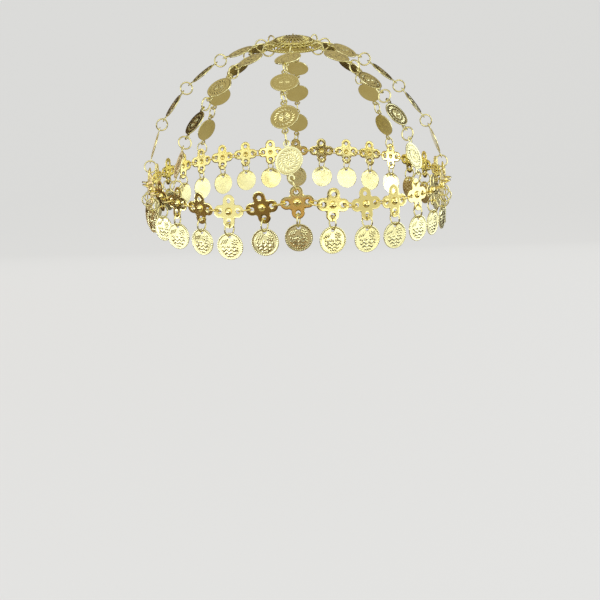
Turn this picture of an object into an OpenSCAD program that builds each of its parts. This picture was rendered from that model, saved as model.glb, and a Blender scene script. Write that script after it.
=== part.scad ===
// Coin head chain: a pierced crown plate, eight strands of coins that run down from it,
// a band of four-lobed plates round the head, and a coin hanging under every plate.
// Every piece is stamped sheet or bent wire, and open rings link them all.
// +Z is up, the front faces -Y, and the origin is under the middle of the crown plate.

/* [Head] */
// Half the width of the band's oval, side to side
band_half_width = 87; // [84:0.5:90]
// Depth of the band's plates below the crown plate
band_depth = 76; // [73:0.5:79]
// Rise of the band from its sides to its back
back_rise = 6; // [4:0.5:8]
// Forward slope of the crown plate, in degrees
crown_slope = 12; // [6:1:14]

/* [Rings] */
// Radius of a jump ring, to the middle of its wire
ring_radius = 3.42; // [3.36:0.02:3.46]
// Thickness of the rings' wire
wire = 0.84; // [0.6:0.02:0.88]

/* [Band plates] */
// Distance from a plate's middle to each of its four holes
plate_reach = 5.2; // [5:0.1:5.4]
// Radius of a plate's round lobes
lobe_radius = 3.25; // [2.9:0.05:3.3]
// Radius of the hollow curve between two lobes
notch_radius = 1.3; // [1:0.1:1.6]
// Radius of a plate's holes
plate_hole = 1.1; // [1.08:0.01:1.2]
// Radius of the round boss in a plate's middle
boss_radius = 1.95; // [1.5:0.05:2.2]
// Height of the boss above the plate
boss_height = 1.2; // [0.8:0.1:1.4]
// Hole-to-hole length of a ring in the band
band_span = 7.44; // [7.3:0.02:7.5]

/* [Coins] */
// Radius of a hanging coin
drop_radius = 7; // [6.6:0.1:7.4]
// Distance from a hanging coin's middle up to its hole
drop_reach = 5.15; // [4.9:0.05:5.3]
// Radius of a strand's coin
coin_radius = 7.4; // [7.2:0.05:7.6]
// Distance from a strand coin's middle to the hole in each ear
ear_reach = 9.2; // [9:0.1:9.4]
// Radius of a coin's ears
ear_radius = 1.9; // [1.8:0.05:2]
// Radius of the holes in the coins
coin_hole = 1; // [0.98:0.01:1.06]
// Hole-to-hole length of a ring that carries a coin
coin_span = 7.4; // [7.2:0.02:7.44]
// Thickness of the coins and plates
sheet = 0.5; // [0.4:0.05:0.55]
// Height of the coins' rim and raised ornament
relief = 0.2; // [0.1:0.05:0.3]

/* [Crown plate] */
// Radius of the crown plate
crown_radius = 17; // [16.5:0.1:17.5]
// Height of the crown plate's dome
crown_rise = 6; // [5:0.25:6.5]
// Thickness of the crown plate
crown_sheet = 0.7; // [0.6:0.05:0.8]
// Distance from the dome's axis to the holes for the strands
crown_reach = 14.6; // [14.4:0.1:14.8]
// Radius of the holes for the strands
crown_hole = 1.55; // [1.52:0.01:1.6]
// Number of narrow slots in the dome's middle
crown_slots = 24; // [16:4:28]
// Number of openings in each outer row of the crown plate
crown_openings = 32; // [24:8:32]
// Distance from the dome's axis to its raised ridge
ridge_reach = 10.3; // [10:0.1:10.5]

/* [Hidden] */
$fn = 48;
PLATES = 32;
COINS_IN_STRAND = 4;
PLATES_PER_STRAND = 4;
PLACES = ["front", "front_right", "right", "back_right", "back", "back_left", "left", "front_left"];
STRANDS = [for (p = PLACES) str("strand_", p)];
BANDS = [for (p = PLACES) str("band_", p)];
DROPS = [for (k = [0:PLATES - 1]) str("drop_", k + 1 < 10 ? "0" : "", k + 1)];

// Sideways drift of each strand's middle, in the order of PLACES
DRIFT = [-5.2, 9, 7.5, 3, -2, -3, -5.4, -9];

// Turn of each strand's coins about the strand, from the crown down, in the order of PLACES
TWISTS = [
    [-12, -3, -14, -22],
    [0, 5, 6, 13],
    [-19, -10, -10, 0],
    [6, -8, 5, -10],
    [4, -6, 9, -5],
    [-7, 5, -9, 6],
    [12, 9, 12, 9],
    [-5, 3, -15, -30]
];

// How the visible plates lie: the plate's number to the right of the front one, its
// height above the band's level, its lean with the right arm up, the tip of its top
// towards the head, and the turn of its coin seen from above
LIE = [
    // plate, height, lean, tip, turn
    [-8, 1, 2, 3, 14],
    [-7, 2, 0, 6, 14],
    [-6, 2, -3, 2, 14],
    [-5, 0.5, -5, -4, 18],
    [-4, -1, -4, 5, 19],
    [-3, -2, -2, -6, 3],
    [-2, -2.5, 3, 8, 7],
    [-1, 0, 11, -8, 3],
    [0, 2.5, 4, -3, 0],
    [1, 0.5, -5, 4, 4],
    [2, -0.5, 2, 8, -5],
    [3, -1, -1, 5, -8],
    [4, 0, 3, 7, -6],
    [5, 0, 0, 3, -4],
    [6, 0, 0, 4, -3]
];
PLAIN_LIE = [0, 0, 0, 3, 0];

// Rows of diamond openings in the crown plate: the distance from the axis to their middles,
// their length outwards and their width, their number, and the place of the first one
OPENING_ROWS = [
    // reach, length, width, number, first
    [3.4, 2.2, 1, crown_slots / 2, 0],
    [7.4, 4.4, 1.15, crown_slots, 0.5],
    [12, 2.2, 1.75, crown_openings, 0.5],
    [13.9, 2.2, 1.9, crown_openings, 0]
];

STROKE = 0.42;
DOT = 0.36;
PITCH = 2 * plate_reach + band_span;
OVAL_STEP = 3;
PATH_STEP = 3;
PLACE_NUMBERS = [0:len(PLACES) - 1];
COIN_NUMBERS = [0:COINS_IN_STRAND - 1];
dome_radius = (crown_radius ^ 2 + crown_rise ^ 2) / (2 * crown_rise);
dome_centre = crown_rise - dome_radius;
crown_hole_angle = asin(crown_reach / dome_radius);
strand_length = 5 * coin_span + COINS_IN_STRAND * 2 * ear_reach;

function unit(v) = v / norm(v);
function total(v, i = 0, sum = 0) = i == len(v) ? sum : total(v, i + 1, sum + v[i]);
function sides(points) = [for (i = [1:len(points) - 1]) norm(points[i] - points[i - 1])];
function wrap(k) = (k % PLATES + PLATES) % PLATES;
function turned(a, b, angle) = a * cos(angle) + b * sin(angle);

// Rows that pair the length along a line of points with the angle that gives each point
function lengths(points, step) =
    let (run = sides(points))
    [
        for (i = 0, s = 0; i <= len(run); s = s + (i < len(run) ? run[i] : 0), i = i + 1)
            [s, i * step]
    ];

// A place is four vectors: a piece's right, its up, its face, and its middle
function place_on(up, face, middle) = [cross(up, face), up, face, middle];
function matrix(place) = [
    for (i = [0:2]) [for (column = place) column[i]],
    [0, 0, 0, 1]
];

// The band's oval: it is as long as all plates and rings, and its half length follows
function oval(half_length) = [
    for (t = [0:OVAL_STEP:360]) [band_half_width * sin(t), -half_length * cos(t), 0]
];
function fit_oval(low, high, tries = 16) =
    let (middle = (low + high) / 2)
    tries == 0 ? middle
        : total(sides(oval(middle))) > PLATES * PITCH ? fit_oval(low, middle, tries - 1)
        : fit_oval(middle, high, tries - 1);
band_half_length = fit_oval(60, 140);
OVAL_ANGLES = lengths(oval(band_half_length), OVAL_STEP);

// The band's plates, counted to the right from the front one
function lie(k) =
    let (rows = [for (row = LIE) if (wrap(row[0]) == k) row])
    len(rows) == 0 ? PLAIN_LIE : rows[0];
function plate_place(k, t) =
    let (
        out = unit([band_half_length * sin(t), -band_half_width * cos(t), 0]),
        level = cross([0, 0, 1], out),
        face = turned(out, [0, 0, 1], lie(k)[3]),
        right = turned(level, cross(face, level), lie(k)[2]),
        height = lie(k)[1] - band_depth + back_rise * max(0, -cos(t))
    )
    place_on(
        cross(face, right), face, [band_half_width * sin(t), -band_half_length * cos(t), height]
    );
PLATE_PLACES = [
    for (k = [0:PLATES - 1]) plate_place(k, lookup(k * PITCH, OVAL_ANGLES))
];
function plate(k) = PLATE_PLACES[wrap(k)];
function right_hole(k) = plate(k)[3] + plate_reach * plate(k)[0];
function left_hole(k) = plate(k)[3] - plate_reach * plate(k)[0];
function top_hole(k) = plate(k)[3] + plate_reach * plate(k)[1];
function bottom_hole(k) = plate(k)[3] - plate_reach * plate(k)[1];

// The hanging coins: straight down from the plate's lower hole
function drop_hole(k) = bottom_hole(k) - [0, 0, coin_span];
function drop_place(k) =
    let (out = unit([plate(k)[2][0], plate(k)[2][1], 0]))
    place_on(
        [0, 0, 1], turned(out, cross([0, 0, 1], out), lie(k)[4]),
        drop_hole(k) - [0, 0, drop_reach]
    );

// The strands: from the crown to a plate's upper hole, on a rounded path that is as full as
// the strand's real length makes it, and drawn sideways in the middle
ENDS = [for (j = PLACE_NUMBERS) top_hole(j * PLATES_PER_STRAND)];
OUTS = [for (end = ENDS) unit([end[0], end[1], 0])];
HOLE_TURN = 360 / len(PLACES);
function sloped(v) = [
    v[0],
    v[1] * cos(crown_slope) - v[2] * sin(crown_slope),
    v[1] * sin(crown_slope) + v[2] * cos(crown_slope)
];
CROWN_FACES = [
    for (j = PLACE_NUMBERS)
        sloped(turned([0, 0, 1], [sin(j * HOLE_TURN), -cos(j * HOLE_TURN), 0], crown_hole_angle))
];
STARTS = [
    for (face = CROWN_FACES)
        sloped([0, 0, dome_centre]) + (dome_radius - crown_sheet / 2) * face
];
function path_point(j, turn, fullness) =
    let (
        run = ENDS[j] - STARTS[j],
        across = sin(turn) ^ (2 / fullness),
        down = 1 - cos(turn) ^ (2 / fullness),
        drift = DRIFT[j] * 4 * (turn / 90) * (1 - turn / 90)
    )
    STARTS[j] + [run[0] * across, run[1] * across, run[2] * down] + cross([0, 0, 1], OUTS[j]) * drift;
function path(j, fullness) = [for (t = [0:PATH_STEP:90]) path_point(j, t, fullness)];
function fit_fullness(j, low = 1, high = 4, tries = 16) =
    let (middle = (low + high) / 2)
    tries == 0 ? middle
        : total(sides(path(j, middle))) > strand_length ? fit_fullness(j, low, middle, tries - 1)
        : fit_fullness(j, middle, high, tries - 1);
FULLNESS = [for (j = PLACE_NUMBERS) fit_fullness(j)];
PATH_ANGLES = [for (j = PLACE_NUMBERS) lengths(path(j, FULLNESS[j]), PATH_STEP)];
function along(j, s) = path_point(j, lookup(s, PATH_ANGLES[j]), FULLNESS[j]);
function strand_coin_place(j, i) =
    let (
        start = coin_span + i * (2 * ear_reach + coin_span),
        upper = along(j, start),
        lower = along(j, start + 2 * ear_reach),
        up = unit(upper - lower),
        flat = unit(cross(cross([0, 0, 1], OUTS[j]), up))
    )
    place_on(up, turned(flat, cross(up, flat), TWISTS[j][i]), (upper + lower) / 2);
COIN_PLACES = [
    for (j = PLACE_NUMBERS) [for (i = COIN_NUMBERS) strand_coin_place(j, i)]
];
function upper_ear(j, i) = COIN_PLACES[j][i][3] + ear_reach * COIN_PLACES[j][i][1];
function lower_ear(j, i) = COIN_PLACES[j][i][3] - ear_reach * COIN_PLACES[j][i][1];

// A ring through the holes at a and b, in the plane that holds them and the direction
// face, then swung by an angle about the line through both
function ring_place(a, b, face, swing) =
    let (
        right = unit(b - a),
        flat = unit(face - (face * right) * right),
        up = turned(flat, cross(right, flat), swing)
    )
    [right, up, cross(right, up), (a + b) / 2];
function swing(n) = 20 * sin(97 * n + 35);

module ring(a, b, face, swing) {
    multmatrix(matrix(ring_place(a, b, face, swing)))
        rotate_extrude()
            translate([ring_radius, 0])
                circle(r = wire / 2, $fn = 16);
}

// A round knob of the given radius and height above z = 0, on a straight stem below it
module knob(radius, height, stem) {
    steps = 6;
    rotate_extrude()
        polygon(concat(
            [[0, -stem], [radius, -stem]],
            [for (n = [0:steps]) [radius * cos(90 * n / steps), height * sin(90 * n / steps)]]
        ));
}

module plate_outline() {
    // the notches bite a little into the lobes, so that the two curves cross cleanly
    bite = 0.03;
    notch = (plate_reach + sqrt(2 * (lobe_radius + notch_radius - bite) ^ 2 - plate_reach ^ 2)) / 2;
    difference() {
        union() {
            for (a = [0:90:270])
                rotate(a)
                    translate([plate_reach, 0])
                        circle(r = lobe_radius);
            polygon([
                for (i = [0:7])
                    i % 2 == 0 ? plate_reach * [cos(45 * i), sin(45 * i)]
                        : notch * sqrt(2) * [cos(45 * i), sin(45 * i)]
            ]);
        }
        for (a = [0:90:270])
            rotate(a) {
                translate([notch, notch])
                    circle(r = notch_radius);
                translate([plate_reach, 0])
                    circle(r = plate_hole);
            }
    }
}

module band_plate() {
    difference() {
        union() {
            translate([0, 0, -sheet / 2])
                linear_extrude(sheet)
                    plate_outline();
            translate([0, 0, sheet / 2])
                knob(boss_radius, boss_height, sheet / 2);
        }
        translate([0, 0, -sheet / 2])
            knob(boss_radius - sheet / 2, boss_height, sheet / 2);
    }
}

// A round disc with a raised rim on its face
module rimmed_disc(radius) {
    rim = 0.45;
    rotate_extrude()
        polygon([
            [0, -sheet / 2],
            [radius, -sheet / 2],
            [radius, sheet / 2 + relief],
            [radius - rim, sheet / 2 + relief],
            [radius - rim - relief / 2, sheet / 2],
            [0, sheet / 2]
        ]);
}

// The raised ornament is made of flat strokes and dots
module dash(x, y, length, angle) {
    translate([x, y])
        rotate(angle)
            square([length, STROKE], center = true);
}

module dot(x, y) {
    translate([x, y])
        circle(r = DOT);
}

// A round flower: a middle dot with straight petals round it
module flower(x, y, petals, reach) {
    inner = 0.85;
    translate([x, y]) {
        dot(0, 0);
        for (i = [0:petals - 1])
            rotate(i * 360 / petals)
                dash((inner + reach) / 2, 0, reach - inner, 0);
    }
}

// A level band of waves, whose middle is at x and y
module wave(x, y, waves, height) {
    pitch = 2.6;
    line = [for (a = [-180 * waves:60:180 * waves]) [a * pitch / 360, height * sin(a)]];
    translate([x, y])
        polygon(concat(
            [for (p = line) p + [0, STROKE / 2]],
            [for (i = [len(line) - 1:-1:0]) line[i] - [0, STROKE / 2]]
        ));
}

// Ornament of a hanging coin: three strokes, a flower, a row of dots and two rows of waves
module drop_ornament() {
    for (i = [0:2])
        dash(-4.2 + 1.2 * i, 2.2 + 0.3 * i, 2, 60);
    flower(2.6, 2.4, 7, 1.65);
    for (i = [0:7])
        dot(-3.9 + 1.1 * i, -0.25 + 0.3 * cos(130 * i));
    wave(0, -1.8, 3, 0.45);
    wave(0, -3.5, 2, 0.4);
    for (i = [-1:1])
        dot(1.2 * i, -5);
}

// Ornament of a strand's coin: a flower with dots between its petals, in a wreath of strokes
module coin_ornament() {
    petals = 8;
    leaves = 18;
    flower(0, 0, petals, 2.9);
    for (i = [0:petals - 1])
        rotate((i + 0.5) * 360 / petals)
            dot(2.6, 0);
    for (i = [0:leaves - 1])
        rotate(i * 360 / leaves)
            dash(4.8, 0, 1.8, 45);
}

// The ornament is sunk a little into the disc, so that both are one piece of metal
module raised() {
    sunk = sheet / 4;
    translate([0, 0, sheet / 2 - sunk])
        linear_extrude(relief + sunk)
            children();
}

module drop_coin() {
    difference() {
        rimmed_disc(drop_radius);
        translate([0, drop_reach, -sheet])
            cylinder(r = coin_hole, h = 2 * sheet + relief);
    }
    raised()
        drop_ornament();
}

module strand_coin() {
    difference() {
        union() {
            rimmed_disc(coin_radius);
            for (side = [-1, 1])
                translate([0, side * ear_reach, -sheet / 2])
                    cylinder(r = ear_radius, h = sheet);
        }
        for (side = [-1, 1])
            translate([0, side * ear_reach, -sheet])
                cylinder(r = coin_hole, h = 2 * sheet);
    }
    raised()
        coin_ornament();
}

// An upright cutter with a diamond outline, its long axis pointing outwards
module diamond(reach, angle, length, width) {
    rotate(angle)
        translate([reach, 0, -1])
            linear_extrude(crown_rise + 2)
                polygon([[-length / 2, 0], [0, -width / 2], [length / 2, 0], [0, width / 2]]);
}

module crown_shell() {
    difference() {
        translate([0, 0, dome_centre])
            sphere(r = dome_radius);
        translate([0, 0, dome_centre])
            sphere(r = dome_radius - crown_sheet);
        translate([0, 0, -2 * dome_radius])
            cube(4 * dome_radius, center = true);
    }
}

// A round wire lying on the dome at a distance from its axis
module dome_wire(reach, thickness) {
    rotate_extrude()
        translate([reach, dome_centre + sqrt(dome_radius ^ 2 - reach ^ 2)])
            circle(d = thickness, $fn = 16);
}

module crown_plate() {
    rim = 0.8;
    ridge = 0.9;
    color("goldenrod")
        rotate([crown_slope, 0, 0])
            difference() {
                union() {
                    crown_shell();
                    dome_wire(ridge_reach, ridge);
                    dome_wire(crown_radius - 0.7 * rim, rim);
                }
                for (row = OPENING_ROWS)
                    for (i = [0:row[3] - 1])
                        if (row[0] + row[1] < crown_reach || i % (row[3] / len(PLACES)) != 0)
                            diamond(row[0], (i + row[4]) * 360 / row[3], row[1], row[2]);
                for (j = PLACE_NUMBERS)
                    translate([0, 0, dome_centre])
                        rotate([0, crown_hole_angle, j * HOLE_TURN - 90])
                            translate([0, 0, dome_radius - 2 * crown_sheet])
                                cylinder(r = crown_hole, h = 4 * crown_sheet);
            }
}

module strand(j) {
    end = j * PLATES_PER_STRAND;
    last = COINS_IN_STRAND - 1;
    faces = [for (place = COIN_PLACES[j]) place[2]];
    color("gold") {
        for (place = COIN_PLACES[j])
            multmatrix(matrix(place))
                strand_coin();
        ring(STARTS[j], upper_ear(j, 0), 2 * CROWN_FACES[j] + faces[0], 0);
        for (i = [0:last - 1])
            ring(lower_ear(j, i), upper_ear(j, i + 1), faces[i] + faces[i + 1], swing(5 * j + i));
        ring(lower_ear(j, last), ENDS[j], faces[last] + plate(end)[2], swing(5 * j + last));
    }
}

module band(j) {
    first = j * PLATES_PER_STRAND - 2;
    color("goldenrod")
        for (k = [first:first + PLATES_PER_STRAND - 1]) {
            multmatrix(matrix(plate(k)))
                band_plate();
            ring(right_hole(k), left_hole(k + 1), plate(k)[2] + plate(k + 1)[2], swing(k));
        }
}

module drop(k) {
    color("gold") {
        multmatrix(matrix(drop_place(k)))
            drop_coin();
        ring(bottom_hole(k), drop_hole(k), plate(k)[2] + drop_place(k)[2], swing(3 * k));
    }
}

crown_plate();
for (j = PLACE_NUMBERS) {
    strand(j);
    band(j);
}
for (k = [0:PLATES - 1])
    drop(k);
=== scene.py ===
"""Coin head chain: crown plate, eight strands of coins, a band of lobed plates and hanging coins.

All lengths are in millimetres until a mesh is made, except the studio's, which are in metres.
Every layout value is the one that part.scad has, so that each piece lies where its CAD node lies.
"""

import bpy
import numpy as np
from mathutils import Matrix, Vector


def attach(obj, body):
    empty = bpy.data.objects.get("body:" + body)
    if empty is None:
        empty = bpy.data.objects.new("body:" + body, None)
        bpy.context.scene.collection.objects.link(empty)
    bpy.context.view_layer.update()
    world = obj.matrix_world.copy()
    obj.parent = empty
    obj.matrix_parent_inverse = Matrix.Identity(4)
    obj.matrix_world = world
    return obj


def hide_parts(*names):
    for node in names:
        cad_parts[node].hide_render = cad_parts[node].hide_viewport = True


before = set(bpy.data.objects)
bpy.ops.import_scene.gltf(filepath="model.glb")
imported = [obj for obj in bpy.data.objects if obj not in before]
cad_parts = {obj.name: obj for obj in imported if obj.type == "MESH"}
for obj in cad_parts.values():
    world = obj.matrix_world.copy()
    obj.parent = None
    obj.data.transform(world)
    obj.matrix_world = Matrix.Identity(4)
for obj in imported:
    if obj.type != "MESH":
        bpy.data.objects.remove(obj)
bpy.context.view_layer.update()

MM = 0.001
UP = np.array([0.0, 0.0, 1.0])

# A reach goes from a piece's middle to the middle of its hole, and a span from there to the
# next piece's hole, across the ring that joins them

# Head
BAND_HALF_WIDTH = 87.0
BAND_DEPTH = 76.0
BACK_RISE = 6.0
CROWN_SLOPE = 12.0
# Rings
RING_RADIUS = 3.42
WIRE = 0.84
# Band plates
PLATE_REACH = 5.2
LOBE_RADIUS = 3.25
NOTCH_RADIUS = 1.3
NOTCH_BITE = 0.03
PLATE_HOLE = 1.1
BOSS_RADIUS = 1.95
BOSS_HEIGHT = 1.2
BAND_SPAN = 7.44
# Coins
DROP_RADIUS = 7.0
DROP_REACH = 5.15
COIN_RADIUS = 7.4
EAR_REACH = 9.2
EAR_RADIUS = 1.9
COIN_HOLE = 1.0
COIN_SPAN = 7.4
SHEET = 0.5
RELIEF = 0.2
# Crown plate
CROWN_RADIUS = 17.0
CROWN_RISE = 6.0
CROWN_SHEET = 0.7
CROWN_REACH = 14.6
CROWN_SLOTS = 24

PLATES = 32
COINS_IN_STRAND = 4
PLATES_PER_STRAND = 4
PLACES = ("front", "front_right", "right", "back_right", "back", "back_left", "left", "front_left")
# Sideways drift of each strand's middle, in the order of PLACES
DRIFT = (-5.2, 9, 7.5, 3, -2, -3, -5.4, -9)
# Turn of each strand's coins about the strand, from the crown down, in the order of PLACES
TWISTS = (
    (-12, -3, -14, -22),
    (0, 5, 6, 13),
    (-19, -10, -10, 0),
    (6, -8, 5, -10),
    (4, -6, 9, -5),
    (-7, 5, -9, 6),
    (12, 9, 12, 9),
    (-5, 3, -15, -30),
)
# Plate number to the right of the front one: height, lean, tip of the top, turn of its coin
LIE = {
    -8: (1, 2, 3, 14),
    -7: (2, 0, 6, 14),
    -6: (2, -3, 2, 14),
    -5: (0.5, -5, -4, 18),
    -4: (-1, -4, 5, 19),
    -3: (-2, -2, -6, 3),
    -2: (-2.5, 3, 8, 7),
    -1: (0, 11, -8, 3),
    0: (2.5, 4, -3, 0),
    1: (0.5, -5, 4, 4),
    2: (-0.5, 2, 8, -5),
    3: (-1, -1, 5, -8),
    4: (0, 3, 7, -6),
    5: (0, 0, 3, -4),
    6: (0, 0, 4, -3),
}
PLAIN_LIE = (0, 0, 3, 0)
# Degrees between two points of the band's oval and of a strand's path
PATH_STEP = 3.0


def sind(angle):
    """The sine of an angle in degrees."""
    return np.sin(np.radians(angle))


def cosd(angle):
    """The cosine of an angle in degrees."""
    return np.cos(np.radians(angle))


def unit(v):
    """The direction of v, with length 1."""
    return v / np.linalg.norm(v)


def turned(a, b, angle):
    """Direction a turned towards b, which is square to it."""
    return a * cosd(angle) + b * sind(angle)


def place_on(up, face, middle):
    """A place is four rows: a piece's right, its up, its face and its middle."""
    return np.array([np.cross(up, face), up, face, middle])


def halved(low, high, too_long, tries=16):
    """The value between low and high at which too_long turns true, found by halving."""
    for _ in range(tries):
        middle = (low + high) / 2
        low, high = (low, middle) if too_long(middle) else (middle, high)
    return (low + high) / 2


def run_length(points):
    """The length from the first of a line of points to each of them."""
    sides = np.linalg.norm(np.diff(points, axis=0), axis=1)
    return np.concatenate([[0], np.cumsum(sides)])


# The band: plates at equal steps round an oval, which is as long as all plates and rings


def oval(half_length, angles):
    """The ellipse x = half width * sin, y = -half length * cos, at the band's level."""
    return np.stack([BAND_HALF_WIDTH * sind(angles), -half_length * cosd(angles), 0 * angles], 1)


def plate_places():
    """Each plate's place, out along the oval's normal, tipped and leaned by LIE, and its coin's turn."""
    angles = np.arange(0, 361, PATH_STEP)
    pitch = 2 * PLATE_REACH + BAND_SPAN
    half = halved(60, 140, lambda h: run_length(oval(h, angles))[-1] > PLATES * pitch)
    run = run_length(oval(half, angles))
    lies = {k % PLATES: row for k, row in LIE.items()}
    places = []
    for k in range(PLATES):
        t = np.interp(k * pitch, run, angles)
        height, lean, tip, _ = lies.get(k, PLAIN_LIE)
        out = unit(np.array([half * sind(t), -BAND_HALF_WIDTH * cosd(t), 0]))
        level = np.cross(UP, out)
        face = turned(out, UP, tip)
        right = turned(level, np.cross(face, level), lean)
        z = height - BAND_DEPTH + BACK_RISE * max(0.0, -cosd(t))
        middle = [BAND_HALF_WIDTH * sind(t), -half * cosd(t), z]
        places.append(place_on(np.cross(face, right), face, middle))
    return places, [lies.get(k, PLAIN_LIE)[3] for k in range(PLATES)]


PLATE_PLACES, COIN_TURNS = plate_places()


def plate(k):
    """The place of a plate, counted to the right from the front one."""
    return PLATE_PLACES[k % PLATES]


def plate_edge(k, row, side):
    """The middle of one of a plate's four holes: row 0 for left and right, 1 for up and down."""
    return plate(k)[3] + side * PLATE_REACH * plate(k)[row]


def drop_hole(k):
    """The middle of a hanging coin's hole, one ring straight below its plate's lowest hole."""
    return plate_edge(k, 1, -1) - COIN_SPAN * UP


def drop_place(k):
    """The place of a hanging coin: upright, facing out from the band and turned by COIN_TURNS."""
    out = unit(plate(k)[2] * [1, 1, 0])
    face = turned(out, np.cross(UP, out), COIN_TURNS[k])
    return place_on(UP, face, drop_hole(k) - DROP_REACH * UP)


# The strands: a rounded path from the crown to a plate, as full as the strand's length makes it

DOME_RADIUS = (CROWN_RADIUS**2 + CROWN_RISE**2) / (2 * CROWN_RISE)
DOME_CENTRE = CROWN_RISE - DOME_RADIUS


def sloped(v):
    """Points or directions of the crown plate, turned forward by the crown's slope."""
    x, y, z = np.moveaxis(np.asarray(v, float), -1, 0)
    c, s = cosd(CROWN_SLOPE), sind(CROWN_SLOPE)
    return np.stack([x, y * c - z * s, y * s + z * c], -1)


def strand_places(j):
    """The strand's start, the crown's face there, its end and the places of its coins.

    The path goes across by sin^(2/fullness) and down by 1 - cos^(2/fullness) of a turn from
    0 to 90 degrees, with a sideways drift that is greatest in the middle.
    """
    end = plate_edge(j * PLATES_PER_STRAND, 1, 1)
    out = unit(end * [1, 1, 0])
    side = np.cross(UP, out)
    round_crown = 360 / len(PLACES) * j
    spoke = np.array([sind(round_crown), -cosd(round_crown), 0])
    tilt = np.degrees(np.arcsin(CROWN_REACH / DOME_RADIUS))
    crown_face = sloped(turned(UP, spoke, tilt))
    start = sloped([0, 0, DOME_CENTRE]) + (DOME_RADIUS - CROWN_SHEET / 2) * crown_face
    run = end - start

    def path(turn, fullness):
        """The point of the strand's path at each turn from 0 to 90 degrees."""
        across = np.abs(sind(turn)) ** (2 / fullness)
        down = 1 - np.abs(cosd(turn)) ** (2 / fullness)
        drift = DRIFT[j] * 4 * (turn / 90) * (1 - turn / 90)
        steps = np.stack([run[0] * across, run[1] * across, run[2] * down], -1)
        return start + steps + drift[..., None] * side

    turns = np.arange(0, 91, PATH_STEP)
    length = (COINS_IN_STRAND + 1) * COIN_SPAN + COINS_IN_STRAND * 2 * EAR_REACH
    full = halved(1, 4, lambda n: run_length(path(turns, n))[-1] > length)
    lengths = run_length(path(turns, full))
    coins = []
    for i, twist in enumerate(TWISTS[j]):
        first = COIN_SPAN + i * (2 * EAR_REACH + COIN_SPAN)
        ends = path(np.interp([first, first + 2 * EAR_REACH], lengths, turns), full)
        up = unit(ends[0] - ends[1])
        flat = unit(np.cross(side, up))
        coins.append(place_on(up, turned(flat, np.cross(up, flat), twist), ends.mean(0)))
    return start, crown_face, end, coins


def ring_place(a, b, face, swing):
    """A ring through holes a and b, in the plane of face, swung about the line through both."""
    right = unit(b - a)
    flat = unit(face - (face @ right) * right)
    up = turned(flat, np.cross(right, flat), swing)
    return np.array([right, up, np.cross(right, up), (a + b) / 2])


def swing(n):
    """The swing of the n-th ring, up to 20 degrees either way and unlike its neighbours'."""
    return 20 * sind(97 * n + 35)


# Meshes: a shape is its points, its triangles and how raised each point is, from 0 to 1, which the gold
# paints as a highlight on high points and as shade on low ones

# Radius of the rounding on the edges of sheet, and how far in from an edge its rows of points lie
EDGE = 0.13
EDGE_STEPS = np.array([0, 0.05, EDGE])
# Slack for values that fall on a limit
TINY = 1e-9


def grid(points, across=False, along=False, flip=False, raised=None):
    """Two triangles per cell of a grid of points; across and along close its two directions."""
    rows, columns = points.shape[:2]
    index = np.arange(rows * columns).reshape(rows, columns)
    if along:
        index = np.concatenate([index, index[:1]], 0)
    if across:
        index = np.concatenate([index, index[:, :1]], 1)
    a, b, c, d = index[:-1, :-1], index[1:, :-1], index[1:, 1:], index[:-1, 1:]
    triangles = np.concatenate([np.stack([a, b, c], -1), np.stack([a, c, d], -1)]).reshape(-1, 3)
    if flip:
        triangles = triangles[:, ::-1]
    high = np.zeros(rows * columns) if raised is None else np.asarray(raised, float).reshape(-1)
    return points.reshape(-1, 3), triangles, high


def joined(shapes):
    """Several shapes as one."""
    starts = np.cumsum([0] + [len(s[0]) for s in shapes[:-1]])
    return (
        np.concatenate([s[0] for s in shapes]),
        np.concatenate([s[1] + n for s, n in zip(shapes, starts)]),
        np.concatenate([s[2] for s in shapes]),
    )


def welded(shape):
    """The shape with points closer than a thousandth of a millimetre made one."""
    points, triangles, high = shape
    # the odd part keeps round values away from the borders between two keys
    keys = np.floor(points * 1000 + 0.317).astype(np.int64)
    _, first, index = np.unique(keys, axis=0, return_index=True, return_inverse=True)
    t = index.reshape(-1)[triangles]
    whole = (t[:, 0] != t[:, 1]) & (t[:, 1] != t[:, 2]) & (t[:, 2] != t[:, 0])
    return points[first], t[whole], high[first]


def placed(shape, place):
    """The shape moved from its own axes into a place."""
    return shape[0] @ place[:3] + place[3], shape[1], shape[2]


def rounding(depth):
    """How far a rounded edge falls away at a depth inwards from the edge: a quarter circle."""
    inside = np.clip(EDGE - depth, 0, EDGE)
    return EDGE - np.sqrt(np.clip(EDGE**2 - inside**2, 0, None))


def turned_profile(radii, heights, turn):
    """A profile of radii and heights turned round the upright axis, at the given angles."""
    level = np.outer(heights, np.ones(len(turn)))
    return np.stack([np.outer(radii, cosd(turn)), np.outer(radii, sind(turn)), level], -1)


def shell(xy, front, back, front_high, holed):
    """A sheet between two heights over one grid of points, from its hole or middle outwards.

    The grid runs out over the front and back in over the rear, which is flat and keeps only
    its first and last rows. It is closed through the hole where it has one.
    """
    kept = [-1, -2, -3, 2, 1, 0] if holed else [-1, -2, -3, 0]
    top = np.concatenate([xy, front[..., None]], -1)
    rear = np.concatenate([xy, back[..., None]], -1)[kept]
    high = np.concatenate([front_high, 0 * front_high[kept]])
    return welded(grid(np.concatenate([top, rear]), across=True, along=holed, raised=high))


# Raised ornament, as distances to strokes

RIM_TEETH = 44
RIM_WIDTH = 0.85
# Width of the step up to the rim, and how high the rim stays between two teeth
RIM_STEP = 0.25
RIM_LOW = 0.15
# How far in from a coin's edge its outer rows of points lie
RIM_ROWS = np.array([0.95, 0.72, 0.5, 0.3, *EDGE_STEPS[::-1]])
# A coin's grid: rows up to the rim, and three points round it for each tooth
FIELD_ROWS = 23
ROUND_COIN = np.arange(3 * RIM_TEETH) * 120 / RIM_TEETH
RIDGE_HALF_WIDTH = 0.44
DOT_RADIUS = 0.15
WAVE_LENGTH = 2.6
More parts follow.
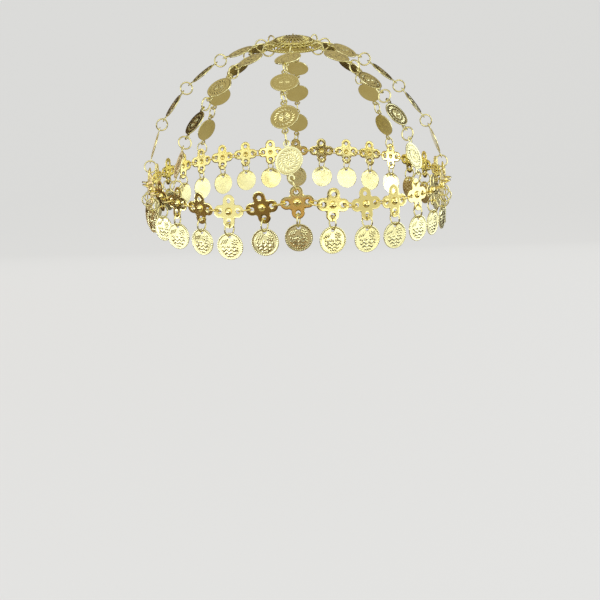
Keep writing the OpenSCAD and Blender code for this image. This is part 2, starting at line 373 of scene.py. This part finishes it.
# Where a flower's petals start, and how much shorter than a petal its middle line is
PETAL_START = 0.85
PETAL_ENDS = 0.3


def to_dash(x, y, cx, cy, length, angle):
    """Distance to a straight stroke of the given length and angle about its middle."""
    u = (x - cx) * cosd(angle) + (y - cy) * sind(angle)
    v = (y - cy) * cosd(angle) - (x - cx) * sind(angle)
    return np.hypot(np.clip(np.abs(u) - length / 2, 0, None), v)


def to_dot(x, y, cx, cy):
    """Distance to a small round spot."""
    return np.hypot(x - cx, y - cy) - DOT_RADIUS


def to_flower(x, y, cx, cy, petals, reach):
    """Distance to a dot with straight petals round it."""
    strokes = [to_dot(x, y, cx, cy)]
    middle = (PETAL_START + reach) / 2
    length = reach - PETAL_START - PETAL_ENDS
    for a in np.arange(petals) * 360 / petals:
        strokes.append(to_dash(x, y, cx + middle * cosd(a), cy + middle * sind(a), length, a))
    return np.min(strokes, 0)


def to_wave(x, y, cx, cy, waves, height):
    """Distance to a level row of sine waves: the height off it times its slope's cosine."""
    u = (x - cx) * 360 / WAVE_LENGTH
    slope = height * np.radians(360 / WAVE_LENGTH) * cosd(u)
    off = (y - cy - height * sind(u)) / np.hypot(1, slope)
    return np.hypot(off, np.clip(np.abs(x - cx) - WAVE_LENGTH / 2 * waves, 0, None))


def ridge(distance, half_width):
    """A rounded ridge: the square of a cosine, 1 on the stroke and 0 at its half width."""
    return np.cos(np.pi / 2 * np.clip(distance / half_width, 0, 1)) ** 2


def drop_ornament(x, y):
    """A hanging coin's ornament: strokes and a flower, a row of dots, rows of waves, three dots."""
    strokes = [to_dash(x, y, -4.2 + 1.2 * i, 2.2 + 0.3 * i, 1.7, 60) for i in range(3)]
    strokes.append(to_flower(x, y, 2.6, 2.4, 7, 1.65))
    strokes += [to_dot(x, y, -3.9 + 1.1 * i, -0.25 + 0.3 * cosd(130 * i)) for i in range(8)]
    strokes += [to_wave(x, y, 0, -1.8, 3, 0.45), to_wave(x, y, 0, -3.5, 2, 0.4)]
    strokes += [to_dot(x, y, 1.2 * i, -5) for i in (-1, 0, 1)]
    return ridge(np.min(strokes, 0), RIDGE_HALF_WIDTH)


def coin_ornament(x, y):
    """A strand coin's ornament: a flower with dots between its petals, in a wreath of strokes."""
    strokes = [to_flower(x, y, 0, 0, 8, 2.9)]
    strokes += [to_dot(x, y, 2.6 * cosd(a), 2.6 * sind(a)) for a in np.arange(8) * 45 + 22.5]
    strokes += [
        to_dash(x, y, 4.8 * cosd(a), 4.8 * sind(a), 1.5, a + 45) for a in np.arange(18) * 20.0
    ]
    return ridge(np.min(strokes, 0), RIDGE_HALF_WIDTH)


def coin_heights(x, y, radius, ornament):
    """Front height, back height and how raised each point is, for a disc with a toothed rim.

    The rim rises over a short step, and round the coin it goes up and down as a cosine does.
    """
    r = np.hypot(x, y)
    tooth = 0.5 + 0.5 * np.cos(RIM_TEETH * np.arctan2(y, x))
    rim = np.clip((r - radius + RIM_WIDTH) / RIM_STEP, 0, 1)
    raised = np.maximum(rim * rim * (3 - 2 * rim) * (RIM_LOW + (1 - RIM_LOW) * tooth), ornament)
    edge = rounding(radius - r)
    return SHEET / 2 + RELIEF * raised - edge, -SHEET / 2 + edge, raised


def bead(radius, height):
    """A small round knob: half an ellipsoid on a short stem, closed below."""
    rise = np.array([-0.4, -0.4, 0.2, 0.75, 1])
    width = np.array([0, 1, 0.98, 0.66, 0])
    rows = turned_profile(radius * width, height * rise, np.arange(0, 360, 45.0))
    return welded(grid(rows[::-1], across=True, raised=np.ones(rows.shape[:2])))


def drop_coin():
    """A hanging coin. Its grid runs from the hole to the rim, so the hole needs no cutting."""
    rim = DROP_RADIUS * np.stack([cosd(ROUND_COIN), sind(ROUND_COIN)], -1)
    away = rim - [0, DROP_REACH]
    way = away / np.linalg.norm(away, axis=1)[:, None]
    hole = [0, DROP_REACH] + COIN_HOLE * way
    inner = rim * (1 - RIM_ROWS[0] / DROP_RADIUS)
    near = hole + EDGE * way
    rows = [hole + s * way for s in EDGE_STEPS[:-1]]
    rows += [near + (inner - near) * s for s in np.linspace(0, 1, FIELD_ROWS)]
    rows += [rim * (1 - s / DROP_RADIUS) for s in RIM_ROWS[1:]]
    xy = np.array(rows)
    x, y = xy[..., 0], xy[..., 1]
    front, back, raised = coin_heights(x, y, DROP_RADIUS, drop_ornament(x, y))
    edge = rounding(np.hypot(x, y - DROP_REACH) - COIN_HOLE)
    return shell(xy, front - edge, back + edge, raised, holed=True)


# Half the width of an ear's neck, and how far from the hole it reaches into the coin
EAR_NECK = 1.1
EAR_FOOT = 2.25
# How much thinner than the coin an ear is on each side, so that the two faces don't meet
EAR_STEP = 0.02
# How bright and smooth an ear is, on the scale of raised points: it gets the same painted highlight that
# raised relief gets
EAR_PAINTED_SHEEN = 0.6


def ear(side):
    """An ear with its hole: a washer whose edge runs straight into the coin on a short neck."""
    turn = np.arange(0, 360, 9.0)
    neck = EAR_NECK / np.clip(np.abs(sind(turn)), 0.3, None)
    reach = np.where(cosd(turn) < 0, np.clip(neck, EAR_RADIUS, EAR_FOOT), EAR_RADIUS)
    inner = COIN_HOLE + np.array([*EDGE_STEPS, 0.4])
    r = np.array([np.full(turn.shape, s) for s in inner] + [reach - s for s in EDGE_STEPS[::-1]])
    xy = np.stack([r * sind(turn) * side, r * cosd(turn) * side], -1)[:, ::-1]
    half = SHEET / 2 - EAR_STEP
    edge = rounding(np.minimum(r - COIN_HOLE, reach - r))[:, ::-1]
    shape = shell(xy, half - edge, edge - half, np.full(r.shape, EAR_PAINTED_SHEEN), holed=True)
    return shape[0] + [0, side * EAR_REACH, 0], shape[1], shape[2]


def strand_coin():
    """A strand's coin: a disc on a round grid and two ears."""
    steps = [*np.linspace(0, COIN_RADIUS - RIM_ROWS[0], FIELD_ROWS), *(COIN_RADIUS - RIM_ROWS[1:])]
    x, y = np.outer(steps, cosd(ROUND_COIN)), np.outer(steps, sind(ROUND_COIN))
    front, back, raised = coin_heights(x, y, COIN_RADIUS, coin_ornament(x, y))
    disc = shell(np.stack([x, y], -1), front, back, raised, holed=False)
    return joined([disc, ear(1), ear(-1)])


# Half the gap of a ring's closed joint, in degrees
HALF_JOINT = 1.6


def jump_ring():
    """A ring of round wire with its closed joint: a circle carried round a circle."""
    around = np.linspace(90 + HALF_JOINT, 450 - HALF_JOINT, 41)
    turn = np.arange(0, 360, 36.0)
    out = RING_RADIUS + WIRE / 2 * cosd(turn)
    rise = np.outer(np.ones(len(around)), WIRE / 2 * sind(turn))
    rows = np.stack([np.outer(cosd(around), out), np.outer(sind(around), out), rise], -1)
    ends = [np.repeat(rows[i].mean(0)[None, None], len(turn), 1) for i in (0, -1)]
    return welded(grid(np.concatenate([ends[0], rows, ends[1]]), across=True))


def lobe_reach(turn):
    """From a plate's hole to the edge of its quarter, along each direction from outwards.

    First comes the round lobe, then the hollow curve between lobes, which bites a little into
    it, then the straight line to the next quarter, and last the foot of the boss.
    """
    c = PLATE_REACH
    apart = LOBE_RADIUS + NOTCH_RADIUS - NOTCH_BITE
    n = (c + np.sqrt(2 * apart**2 - c**2)) / 2
    corner = n - NOTCH_RADIUS / np.sqrt(2)
    foot = BOSS_RADIUS / np.sqrt(2)
    stops = [np.degrees(np.arctan2(y, y - c)) for y in (n, corner, foot)]
    bite = (LOBE_RADIUS**2 + apart**2 - NOTCH_RADIUS**2) / (2 * LOBE_RADIUS * apart)
    stops[0] -= np.degrees(np.arccos(bite))
    t = np.abs(turn)
    along = (c - n) * cosd(t) - n * sind(t)
    hollow = -along - np.sqrt(np.clip(along**2 - (c - n) ** 2 - n**2 + NOTCH_RADIUS**2, 0, None))
    line = c / np.where(t > 90, sind(t) - cosd(t), 1)
    boss = -c * cosd(t) - np.sqrt(np.clip((c * cosd(t)) ** 2 - c**2 + BOSS_RADIUS**2, 0, None))
    reach = np.select([t <= s + TINY for s in stops], [np.full(t.shape, LOBE_RADIUS), hollow, line], boss)
    return reach, stops, n


def band_plate():
    """A four-lobed plate: four quarters on grids round their holes, and the boss between them."""
    _, stops, n = lobe_reach(np.zeros(1))
    # from outwards, the lobe, the hollow curve, the line and the boss, with so many points each
    borders = [0, *stops, 180]
    counts = (11, 4, 5, 4)
    half = [np.linspace(a, b, count)[1:] for a, b, count in zip(borders, borders[1:], counts)]
    half = np.concatenate([[0], *half])
    turn = np.concatenate([half, -half[-2:0:-1]])
    reach = lobe_reach(turn)[0]
    # the lobe and the hollow curve are free edges, and the rest meets the next quarter or the boss
    free = np.abs(turn) <= stops[1] + TINY
    rows = [np.full(turn.shape, PLATE_HOLE + s) for s in EDGE_STEPS]
    rows += [PLATE_HOLE + EDGE + (reach - PLATE_HOLE - 2 * EDGE) * s for s in (0.35, 0.7)]
    rows += [reach - s for s in EDGE_STEPS[::-1]]
    r = np.array(rows)
    x, y = PLATE_REACH + r * cosd(turn), r * sind(turn)
    lobe = np.where(np.abs(turn) <= stops[0] + TINY, LOBE_RADIUS - r, np.inf)
    notch = np.hypot(x - n, np.abs(y) - n) - NOTCH_RADIUS
    edge = rounding(np.minimum(np.minimum(lobe, notch), r - PLATE_HOLE))
    top = np.stack([x, y, SHEET / 2 - edge], -1)
    rear = top * [1, 1, -1]
    split = np.nonzero(~free)[0]
    order = np.roll(np.arange(len(turn)), -split[-1] - 1)[: len(turn) - len(split)]
    quarter = joined([
        grid(top, across=True),
        grid(rear, across=True, flip=True),
        grid(np.stack([rear[0], top[0]]), across=True),
        grid(np.stack([top[-1][order], rear[-1][order]])),
    ])
    shapes = []
    for a in (0, 90, 180, 270):
        spin = np.array([[cosd(a), sind(a), 0], [-sind(a), cosd(a), 0], [0, 0, 1]])
        shapes.append((quarter[0] @ spin, quarter[1], quarter[2]))
    # the boss has a spoke at each point where a quarter meets its foot
    x, y, _ = np.concatenate([s[0] for s in shapes]).T
    on_foot = np.abs(np.hypot(x, y) - BOSS_RADIUS) < 1000 * TINY
    spokes = np.unique(np.round(np.degrees(np.arctan2(y[on_foot], x[on_foot])) % 360, 6))
    # 360 degrees is the same spoke as 0
    spokes = spokes[spokes < 359.999]
    rise = np.linspace(0, 90, 9)
    outside = turned_profile(BOSS_RADIUS * cosd(rise), SHEET / 2 + BOSS_HEIGHT * sind(rise), spokes)
    shapes.append(grid(outside, across=True, flip=True))
    inner = BOSS_RADIUS - SHEET / 2
    radii = np.concatenate([[BOSS_RADIUS], inner * cosd(rise)])
    heights = np.concatenate([[0], BOSS_HEIGHT * sind(rise)]) - SHEET / 2
    shapes.append(grid(turned_profile(radii, heights, spokes), across=True))
    return welded(joined(shapes))


def tube(path, radius, sides=8):
    """A round wire along a closed path: a circle square to the path at each of its points."""
    ahead = np.roll(path, -1, 0) - np.roll(path, 1, 0)
    ahead /= np.linalg.norm(ahead, axis=1)[:, None]
    flat = np.cross(ahead, UP)
    flat /= np.linalg.norm(flat, axis=1)[:, None]
    rise = np.cross(flat, ahead)
    turn = np.linspace(0, 360, sides, endpoint=False)[:, None]
    rows = path[:, None] + radius * (flat[:, None] * cosd(turn) + rise[:, None] * sind(turn))
    return grid(rows, across=True, along=True, raised=np.ones(rows.shape[:2]))


def on_dome(reach, turn, above=0.0):
    """A point of the crown plate's outside at a distance from its axis and an angle round it."""
    x, y = reach * cosd(turn), reach * sind(turn)
    z = DOME_CENTRE + np.sqrt(DOME_RADIUS**2 - reach**2)
    point = np.stack([x, y, z * np.ones_like(x)], -1)
    normal = (point - [0, 0, DOME_CENTRE]) / DOME_RADIUS
    return point + above * normal


def dome_rib(inner, outer, turn, radius):
    """A rounded rib up the dome between two distances from its axis, tapering at its ends."""
    steps = np.linspace(0, 1, 7)
    spine = on_dome(inner + (outer - inner) * steps, np.full(7, turn))
    side = np.array([-sind(turn), cosd(turn), 0])
    out = (spine - [0, 0, DOME_CENTRE]) / DOME_RADIUS
    width = radius * np.sqrt(np.clip(1 - (2 * steps - 1) ** 6, 0, 1))
    around = np.arange(0, 360, 60.0)[:, None]
    rows = spine[:, None] + width[:, None, None] * (side * cosd(around) + out[:, None] * sind(around))
    return welded(grid(rows, across=True, flip=True, raised=np.ones(rows.shape[:2])))


# Crown trim. Each scalloped row of wire: distance from the axis, rise and number of scallops
SCALLOPED_ROWS = ((10.85, 0.6, 24), (12.3, 0.95, 32))
SCALLOP_WIRE = 0.2
RIB_START = 5.2
RIB_END = 9.9
RIB_RADIUS = 0.34
RIM_BEADS = 64
BEAD_RADIUS = 0.52
BEAD_HEIGHT = 0.62
# How far in from the rim the beads stand
BEAD_INSET = 0.55
# How high over the dome the middles of the wire and of the beads lie
SCALLOP_LIFT = 0.05
BEAD_LIFT = 0.3


def crown_trim():
    """The crown plate's applied wire: two scalloped rows, ribs between the slots and rim beads.

    A scalloped row's distance from the axis goes out and in as the size of a sine does. The
    outer row runs between the two rows of diamond openings.
    """
    shapes = []
    for reach, rise, scallops in SCALLOPED_ROWS:
        turn = np.linspace(0, 360, scallops * 8, endpoint=False)
        wave = reach + rise * np.abs(sind(turn * scallops / 2))
        shapes.append(tube(on_dome(wave, turn, SCALLOP_LIFT), SCALLOP_WIRE))
    for i in range(CROWN_SLOTS):
        shapes.append(dome_rib(RIB_START, RIB_END, i * 360 / CROWN_SLOTS, RIB_RADIUS))
    one = bead(BEAD_RADIUS, BEAD_HEIGHT)
    for i in range(RIM_BEADS):
        a = i * 360 / RIM_BEADS
        middle = on_dome(CROWN_RADIUS - BEAD_INSET, np.array(a), BEAD_LIFT)
        face = unit(middle - [0, 0, DOME_CENTRE])
        up = np.array([-sind(a), cosd(a), 0])
        shapes.append(placed(one, place_on(up, face, middle)))
    # the wire, ribs and beads are counted fully raised, so the gold paints its highlight on them
    points, triangles, high = joined(shapes)
    return sloped(points), triangles, high


def mesh_piece(name, shape, material, nodes, flatness=50):
    """A Blender piece from a shape, in metres, that stands for its CAD nodes.

    A higher flatness, up to 100, lets the large faces rule the shading more.
    """
    points, triangles, high = shape
    mesh = bpy.data.meshes.new(name)
    mesh.from_pydata((points * MM).tolist(), [], triangles.tolist())
    mesh.polygons.foreach_set("use_smooth", np.ones(len(triangles), bool))
    # the raised attribute sets the material's painted highlight on high points and painted shade on low
    # ones
    mesh.attributes.new("raised", "FLOAT", "POINT").data.foreach_set("value", high.astype(np.float32))
    mesh.set_sharp_from_angle(angle=np.radians(60))
    mesh.materials.append(material)
    mesh.update()
    piece = bpy.data.objects.new(name, mesh)
    bpy.context.scene.collection.objects.link(piece)
    # large flat faces keep their own direction, and only the rounded edges turn
    flat_sheet = piece.modifiers.new("flat_sheet", "WEIGHTED_NORMAL")
    flat_sheet.keep_sharp = True
    flat_sheet.weight = flatness
    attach(piece, "root")
    if nodes:
        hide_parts(*nodes)
    return piece


# Materials


def linear(colour):
    """A hex sRGB colour as linear red, green, blue and alpha."""
    parts = [int(colour[i : i + 2], 16) / 255 for i in (1, 3, 5)]
    return [p / 12.92 if p <= 0.04045 else ((p + 0.055) / 1.055) ** 2.4 for p in parts] + [1]


def node(tree, kind, settings=None, links=None):
    """Adds a node, sets its properties or input values, and links its inputs."""
    made = tree.nodes.new(kind)
    for key, value in (settings or {}).items():
        if isinstance(key, str) and hasattr(made, key):
            setattr(made, key, value)
        else:
            made.inputs[key].default_value = value
    for key, source in (links or {}).items():
        tree.links.new(source, made.inputs[key])
    return made


# Width of the stamping's fine skin, drawn coarser than real so that it shows
SKIN_WIDTH = 0.5
# Width of the patches where the plating is worn brighter or duller
PATCH_WIDTH = 9


def gold_plate(name, bright, deep, rough, wave, across, grain):
    """Gold-plated brass. Points that stand out get a painted highlight and are smoother, hollows get
    painted shade and are rougher.

    wave is the height of the sheet's slow unevenness and across its width, and grain the height
    of the stamping's fine skin, all in mm.
    """
    material = bpy.data.materials.new(name)
    material.use_nodes = True
    tree = material.node_tree
    tree.nodes.clear()
    place = node(tree, "ShaderNodeTexCoord").outputs["Object"]
    high = node(tree, "ShaderNodeAttribute", {"attribute_name": "raised"}).outputs["Fac"]
    slow, fine, patch = (
        node(tree, "ShaderNodeTexNoise", {"Scale": 1 / (width * MM), "Detail": detail}, {"Vector": place})
        for width, detail in ((across, 1.0), (SKIN_WIDTH, 2.0), (PATCH_WIDTH, 3.0))
    )
    # a point's height, from 0 to 1, for the painted highlight and painted shade, and the patches of
    # random wear, which lie round 0.5
    relief_shade_and_wear = node(tree, "ShaderNodeMath", {"operation": "ADD"}, {0: high, 1: patch.outputs["Fac"]})
    ramp = node(
        tree,
        "ShaderNodeMapRange",
        {"From Min": 0.35, "From Max": 1.25},
        {"Value": relief_shade_and_wear.outputs[0]},
    )
    # the colour goes from deep in hollows to bright on raised points: painted shade and painted
    # highlight, with random wear patches
    colour = node(
        tree,
        "ShaderNodeMix",
        {"data_type": "RGBA", 6: linear(deep), 7: linear(bright)},
        {"Factor": ramp.outputs["Result"]},
    )
    gloss = node(
        tree,
        "ShaderNodeMapRange",
        {"To Min": rough + 0.08, "To Max": rough - 0.03},
        {"Value": relief_shade_and_wear.outputs[0]},
    )
    swell = node(
        tree,
        "ShaderNodeBump",
        {"Strength": 1.0, "Distance": wave * MM},
        {"Height": slow.outputs["Fac"]},
    )
    skin = node(
        tree,
        "ShaderNodeBump",
        {"Strength": 1.0, "Distance": grain * MM},
        {"Height": fine.outputs["Fac"], "Normal": swell.outputs["Normal"]},
    )
    surface = {
        "Base Color": colour.outputs[2],
        "Roughness": gloss.outputs["Result"],
        "Normal": skin.outputs["Normal"],
    }
    shader = node(tree, "ShaderNodeBsdfPrincipled", {"Metallic": 1.0}, surface)
    node(tree, "ShaderNodeOutputMaterial", links={"Surface": shader.outputs["BSDF"]})
    return material


# Stamped coin blank: pale yellow plating, satin in its field, with a painted highlight on its relief and
# painted shade in its field
STAMPED_COIN_GOLD = gold_plate("stamped_coin_gold_plate", "#F4F0B0", "#E2D892", 0.2, 0.14, 9, 0.01)
# Plain punched sheet: a deeper gold, rolled nearly as smooth as a mirror
PUNCHED_SHEET_GOLD = gold_plate("punched_sheet_gold_plate", "#F6EC9E", "#ECDC88", 0.12, 0.16, 15, 0.004)
# Pierced crown plate: more satin than the coins, and its gold painted deeper and duller than theirs,
# which stands in for the shade on the crown
PIERCED_CROWN_GOLD = gold_plate("pierced_crown_gold_plate", "#E6DE96", "#C6BA70", 0.24, 0.1, 9, 0.01)


def lit_paper():
    """Pale translucent studio paper, smooth and matt, with light behind it."""
    material = bpy.data.materials.new("pale_studio_paper")
    material.use_nodes = True
    tree = material.node_tree
    tree.nodes.clear()
    settings = {
        "Base Color": linear("#545453"),
        "Roughness": 0.9,
        "Emission Color": linear("#E4E4E2"),
        "Emission Strength": 0.82,
    }
    shader = node(tree, "ShaderNodeBsdfPrincipled", settings)
    node(tree, "ShaderNodeOutputMaterial", links={"Surface": shader.outputs["BSDF"]})
    return material


# Pieces

COIN = strand_coin()
DROP = drop_coin()
PLATE = band_plate()
RING = jump_ring()


def ring(a, b, face, swing_angle):
    """A jump ring through holes a and b."""
    return placed(RING, ring_place(a, b, face, swing_angle))


def strand(j):
    """A strand's four coins and its five rings, from the crown plate to the band."""
    start, crown_face, end, coins = strand_places(j)
    faces = [c[2] for c in coins] + [plate(j * PLATES_PER_STRAND)[2]]
    upper = [c[3] + EAR_REACH * c[1] for c in coins] + [end]
    lower = [c[3] - EAR_REACH * c[1] for c in coins]
    shapes = [placed(COIN, c) for c in coins]
    shapes.append(ring(start, upper[0], 2 * crown_face + faces[0], 0))
    for i in range(COINS_IN_STRAND):
        turn = swing((COINS_IN_STRAND + 1) * j + i)
        shapes.append(ring(lower[i], upper[i + 1], faces[i] + faces[i + 1], turn))
    return joined(shapes)


def band_run(j):
    """The four plates of the band about a strand's end, each with the ring to its right."""
    first = j * PLATES_PER_STRAND - PLATES_PER_STRAND // 2
    shapes = []
    for k in range(first, first + PLATES_PER_STRAND):
        face = plate(k)[2] + plate(k + 1)[2]
        shapes.append(placed(PLATE, plate(k)))
        shapes.append(ring(plate_edge(k, 0, 1), plate_edge(k + 1, 0, -1), face, swing(k)))
    return joined(shapes)


def hanging_coin(k):
    """A hanging coin and the ring by which it hangs from its plate."""
    place = drop_place(k)
    face = plate(k)[2] + place[2]
    return joined([placed(DROP, place), ring(plate_edge(k, 1, -1), drop_hole(k), face, swing(3 * k))])


for j, where in enumerate(PLACES):
    strand_node, band_node = f"strand_{where}", f"band_{where}"
    mesh_piece(f"{strand_node}_coins", strand(j), STAMPED_COIN_GOLD, [strand_node])
    mesh_piece(
        f"{band_node}_plates", band_run(j), PUNCHED_SHEET_GOLD, [band_node], flatness=95
    )

for k in range(PLATES):
    drop_node = f"drop_{k + 1:02d}"
    mesh_piece(f"{drop_node}_coin", hanging_coin(k), STAMPED_COIN_GOLD, [drop_node])

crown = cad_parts["crown_plate"]
crown.data.materials.clear()
crown.data.materials.append(PIERCED_CROWN_GOLD)
mesh_piece("crown_trim", crown_trim(), PIERCED_CROWN_GOLD, [])


# Studio, in metres: a round paper floor that rises into a wall, and soft boxes

FLOOR = -0.34
FLOOR_RADIUS = 1.6
BEND = 0.7
WALL_HEIGHT = 3.4
CENTRE = np.array([0, 0, -0.06])


def paper_bowl():
    """A flat round floor that bends up into a wall: a profile turned round the upright axis."""
    bend = np.linspace(0, 90, 10)
    flat = np.array([0, 0.3, 0.6, 0.9, 1.2, 1.5])
    reach = np.concatenate([flat, FLOOR_RADIUS + BEND * sind(bend), [FLOOR_RADIUS + BEND]])
    rise = np.concatenate([0 * flat, BEND * (1 - cosd(bend)), [WALL_HEIGHT]])
    rows = turned_profile(reach, FLOOR + rise, np.arange(0, 360, 5.0))
    points, triangles, _ = welded(grid(rows, across=True))
    mesh = bpy.data.meshes.new("studio_paper")
    mesh.from_pydata(points.tolist(), [], triangles.tolist())
    mesh.polygons.foreach_set("use_smooth", np.ones(len(triangles), bool))
    mesh.materials.append(lit_paper())
    paper = bpy.data.objects.new("studio_paper", mesh)
    bpy.context.scene.collection.objects.link(paper)
    # the gold mirrors the soft boxes and the dark room between them, as polished metal is lit
    paper.visible_glossy = False


def soft_box(name, turn, height, distance, size, brightness, colour):
    """A rectangular soft box that faces the jewel, turned from the front and raised, in degrees.

    Its power is its brightness times its area and pi, so the gold shows it at that brightness.
    """
    light = bpy.data.lights.new(name, "AREA")
    light.shape = "RECTANGLE"
    light.size, light.size_y = size
    light.energy = brightness * size[0] * size[1] * np.pi
    light.color = colour
    lamp = bpy.data.objects.new(name, light)
    away = np.array([sind(turn) * cosd(height), -cosd(turn) * cosd(height), sind(height)])
    lamp.location = CENTRE + distance * away
    lamp.rotation_euler = Vector(away).to_track_quat("Z", "Y").to_euler()
    lamp.visible_camera = False
    bpy.context.scene.collection.objects.link(lamp)


paper_bowl()

WHITE = (1.0, 1.0, 1.0)
COOL = (0.94, 1.0, 1.22)
WARM = (1.0, 0.62, 0.34)
CREAM = (1.0, 0.88, 0.68)
# Each row: name, turn, height, distance, size, brightness and colour. The low boxes and strips
# light the hanging coins, the big ones the plates, and the warm cards give gold its brown side.
SOFT_BOXES = (
    ("left_box", -56, 19, 0.95, (1.3, 0.95), 1.0, COOL),
    ("left_low_box", -52, -9, 0.9, (0.78, 0.14), 3.1, COOL),
    ("left_strip", -24, -8, 0.85, (0.2, 0.12), 3.0, COOL),
    ("left_corner_strip", -95, -12, 0.9, (0.26, 0.1), 6.0, COOL),
    ("left_side_card", -124, 2, 0.95, (0.8, 0.45), 0.4, WARM),
    ("left_warm_card", -56, -24, 0.6, (0.85, 0.13), 0.17, WARM),
    ("right_box", 54, 17, 0.95, (1.1, 0.95), 0.72, WHITE),
    ("right_low_box", 62, -12, 0.9, (0.75, 0.16), 1.4, COOL),
    ("right_strip", 30, -10, 0.85, (0.24, 0.18), 3.0, WHITE),
    ("right_side_box", 100, 10, 1.0, (0.75, 0.9), 2.1, COOL),
    ("high_front_box", 0, 34, 1.0, (0.95, 0.86), 1.8, WHITE),
    ("low_front_box", 0, -19, 0.9, (0.5, 0.14), 0.6, WARM),
    ("front_strip", 0, -10.5, 0.85, (0.18, 0.08), 1.0, COOL),
    ("top_box", 0, 90, 1.1, (2.2, 1.8), 0.46, CREAM),
    ("back_box", 180, 40, 1.1, (1.2, 0.7), 0.36, CREAM),
    ("back_low_box", 180, -3, 1.0, (1.9, 0.36), 0.7, WHITE),
    ("floor_card", 0, -90, 0.26, (0.7, 0.7), 0.42, CREAM),
)
for row in SOFT_BOXES:
    soft_box(*row)

world = bpy.data.worlds.new("studio_air")
world.use_nodes = True
world.node_tree.nodes["Background"].inputs["Color"].default_value = linear("#3E3126")
world.node_tree.nodes["Background"].inputs["Strength"].default_value = 1.0
bpy.context.scene.world = world
bpy.context.scene.view_settings.view_transform = "Standard"

# Camera, in millimetres and degrees: it looks down on the front of the band, and it is turned a
# little about its own line of sight
PITCH, ROLL, DISTANCE = 15.9, -1.56, 558.75
TARGET = np.array([0.06, 0, -150.5])
back = np.array([0, -cosd(PITCH), sind(PITCH)])
side = np.array([1.0, 0, 0])
over = np.cross(back, side)
axes = [side * cosd(ROLL) + over * sind(ROLL), over * cosd(ROLL) - side * sind(ROLL), back]
camera = bpy.data.cameras.new("camera")
camera.sensor_width = 36
camera.lens = 54.36
camera.clip_start, camera.clip_end = 0.01, 20
viewer = bpy.data.objects.new("camera", camera)
frame_of_view = Matrix([list(a) for a in axes]).transposed().to_4x4()
frame_of_view.translation = Vector((TARGET + DISTANCE * back) * MM)
viewer.matrix_world = frame_of_view
bpy.context.scene.collection.objects.link(viewer)
bpy.context.scene.camera = viewer
